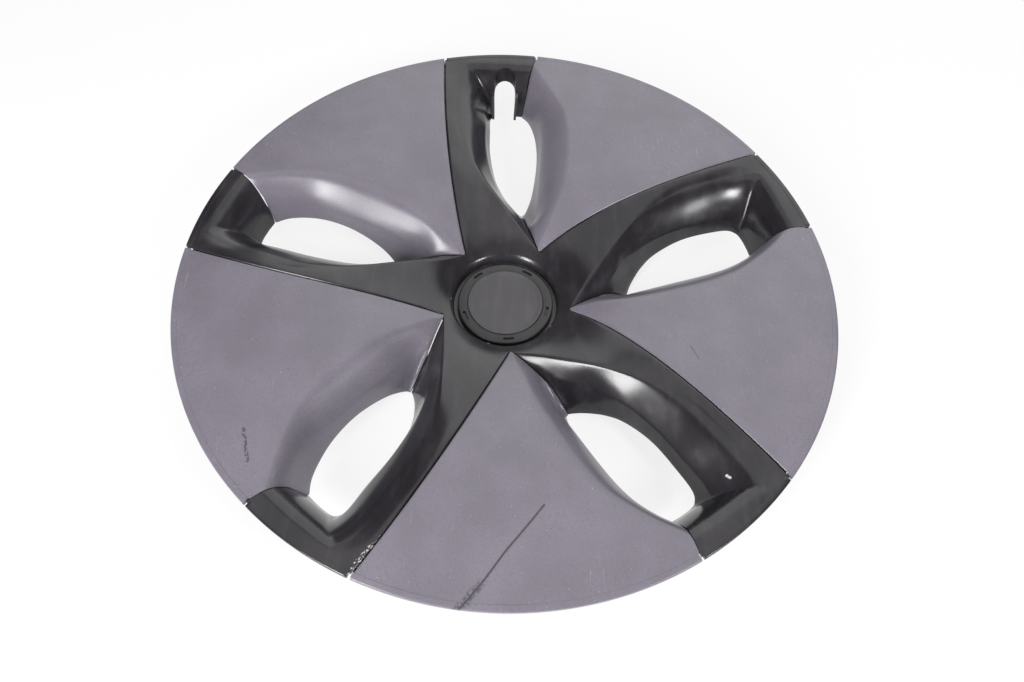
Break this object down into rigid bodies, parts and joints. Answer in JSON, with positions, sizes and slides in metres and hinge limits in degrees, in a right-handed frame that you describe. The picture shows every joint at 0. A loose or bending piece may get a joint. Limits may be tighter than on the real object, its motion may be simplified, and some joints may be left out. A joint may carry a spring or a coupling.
{
  "type": "wheel cover",
  "caption": "Concave two-tone wheel cover: a swirling dark star frame, grey trim panels between its spokes, deep air windows, a sunken centre cap and a tyre valve slot.",
  "frame": {"origin": "on the cover's axis, in the plane that the hub sleeve rests on with the face up", "axes": "+Z out of the face along the wheel's axis, +Y towards the spoke with the valve slot, +X to its right seen from the front"},
  "size_m": [0.49, 0.49, 0.0579],
  "materials": {
    "frame": "satin-gloss black, dusty and lightly scuffed",
    "panel": "fine satin dark grey with a warm cast",
    "cap_ring": "satin black",
    "cap_disc": "matte charcoal, bare",
    "clip": "spring steel",
    "screws": "zinc plated"
  },
  "bodies": {
    "root": {"star_frame": "frame", "panel_1": "panel", "panel_2": "panel", "panel_3": "panel", "panel_4": "panel", "panel_5": "panel", "cap_ring": "cap_ring", "cap_disc": "cap_disc", "clip_1": "clip", "clip_2": "clip", "clip_3": "clip", "clip_4": "clip", "clip_5": "clip", "clip_6": "clip", "clip_7": "clip", "clip_8": "clip", "clip_9": "clip", "clip_10": "clip", "panel_screws": "screws"}
  },
  "joints": []
}
